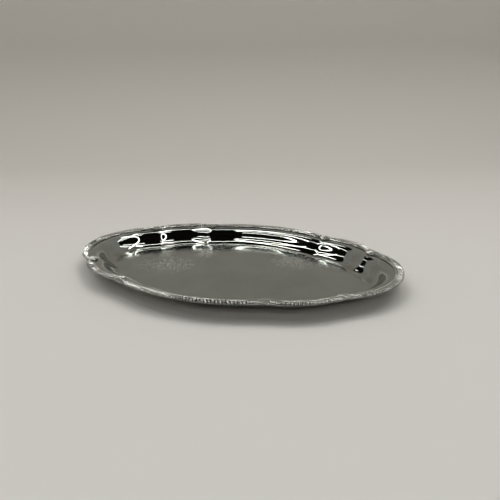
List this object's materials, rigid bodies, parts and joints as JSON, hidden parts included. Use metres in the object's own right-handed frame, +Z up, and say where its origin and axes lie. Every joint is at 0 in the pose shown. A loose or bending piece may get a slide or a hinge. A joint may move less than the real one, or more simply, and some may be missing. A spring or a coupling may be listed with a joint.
{
  "type": "dresser vanity tray",
  "caption": "Shallow oval chrome-plated tray with a lobed rim, gadroon border strips on the lobes and shell mounts over the notches.",
  "frame": {"origin": "centre of the tray's footprint, on the surface that it stands on", "axes": "+X along the long axis, +Y across the tray, +Z up through the well"},
  "size_m": [0.305, 0.21, 0.0165],
  "materials": {
    "plated_sheet": "bright chrome plate on stamped sheet steel, mirror-like with fine hairline scratches",
    "plated_border": "bright chrome plate on die-struck strip, duller and darker in the hollows",
    "plated_mount": "bright chrome plate on die-struck mounts, duller and darker in the hollows"
  },
  "bodies": {
    "root": {"tray_body": "plated_sheet", "side_border_front": "plated_border", "side_border_back": "plated_border", "end_border_left": "plated_border", "end_border_right": "plated_border", "corner_border_front_left": "plated_border", "corner_border_front_right": "plated_border", "corner_border_back_left": "plated_border", "corner_border_back_right": "plated_border", "shell_mount_front_left": "plated_mount", "shell_mount_front_right": "plated_mount", "shell_mount_back_left": "plated_mount", "shell_mount_back_right": "plated_mount", "shell_mount_left_front": "plated_mount", "shell_mount_left_back": "plated_mount", "shell_mount_right_front": "plated_mount", "shell_mount_right_back": "plated_mount"}
  },
  "joints": []
}
